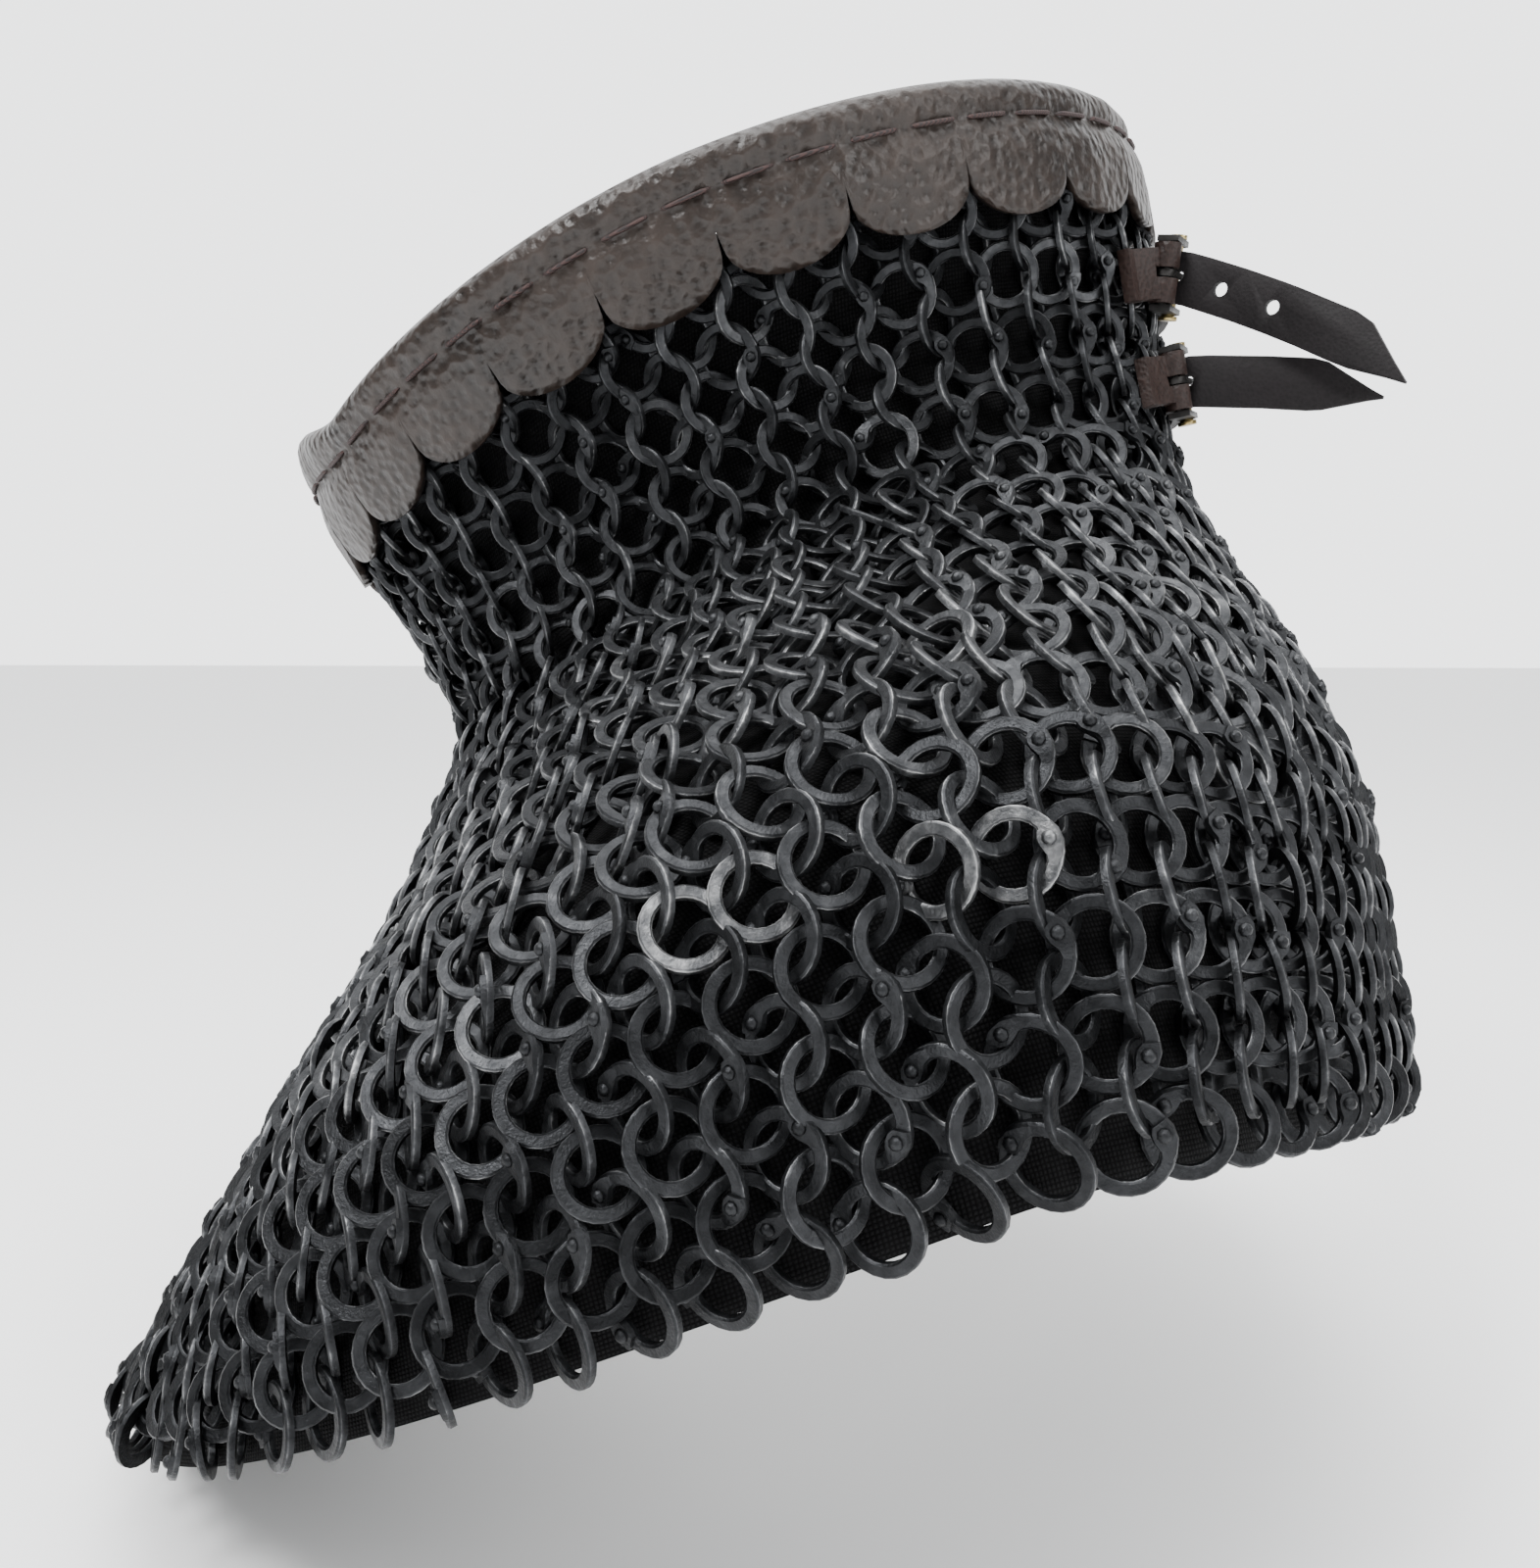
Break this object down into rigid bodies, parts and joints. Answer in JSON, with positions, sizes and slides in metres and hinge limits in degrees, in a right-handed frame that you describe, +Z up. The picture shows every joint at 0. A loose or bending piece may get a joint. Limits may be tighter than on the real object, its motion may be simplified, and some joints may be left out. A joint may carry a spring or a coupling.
{
  "type": "chainmail gorget",
  "caption": "Riveted mail collar with a shoulder mantle, a scalloped leather band folded over its rim, and two buckled straps at the back opening.",
  "frame": {"origin": "middle of the neck base, on the middle surface of the mail, where the wearer's shoulders and neck carry the gorget; mount shoulders", "axes": "+Z up, the wearer faces -Y, the wearer's left is +X; the collar leans forward by 20.5 degrees as a neck does"},
  "size_m": [0.3276, 0.2489, 0.2376],
  "materials": {
    "mail": "blackened riveted mail of flat rings",
    "cloth": "black coarse plain weave",
    "band_leather": "dark brown pebbled",
    "strap_leather": "near-black brown, smooth",
    "iron": "dark, satin",
    "brass": "satin"
  },
  "bodies": {
    "root": {"mail_neck_left": "mail", "mail_neck_right": "mail", "mail_back_left": "mail", "mail_back_right": "mail", "mail_shoulder_left": "mail", "mail_shoulder_right": "mail", "mail_front_left": "mail", "mail_front_right": "mail", "cloth_left": "cloth", "cloth_right": "cloth", "leather_band": "band_leather", "chape_upper": "band_leather", "buckle_frame_upper": "iron", "buckle_prong_upper": "iron", "buckle_bar_upper": "brass", "strap_upper": "strap_leather", "chape_lower": "band_leather", "buckle_frame_lower": "iron", "buckle_prong_lower": "iron", "buckle_bar_lower": "brass", "strap_lower": "strap_leather"}
  },
  "joints": []
}
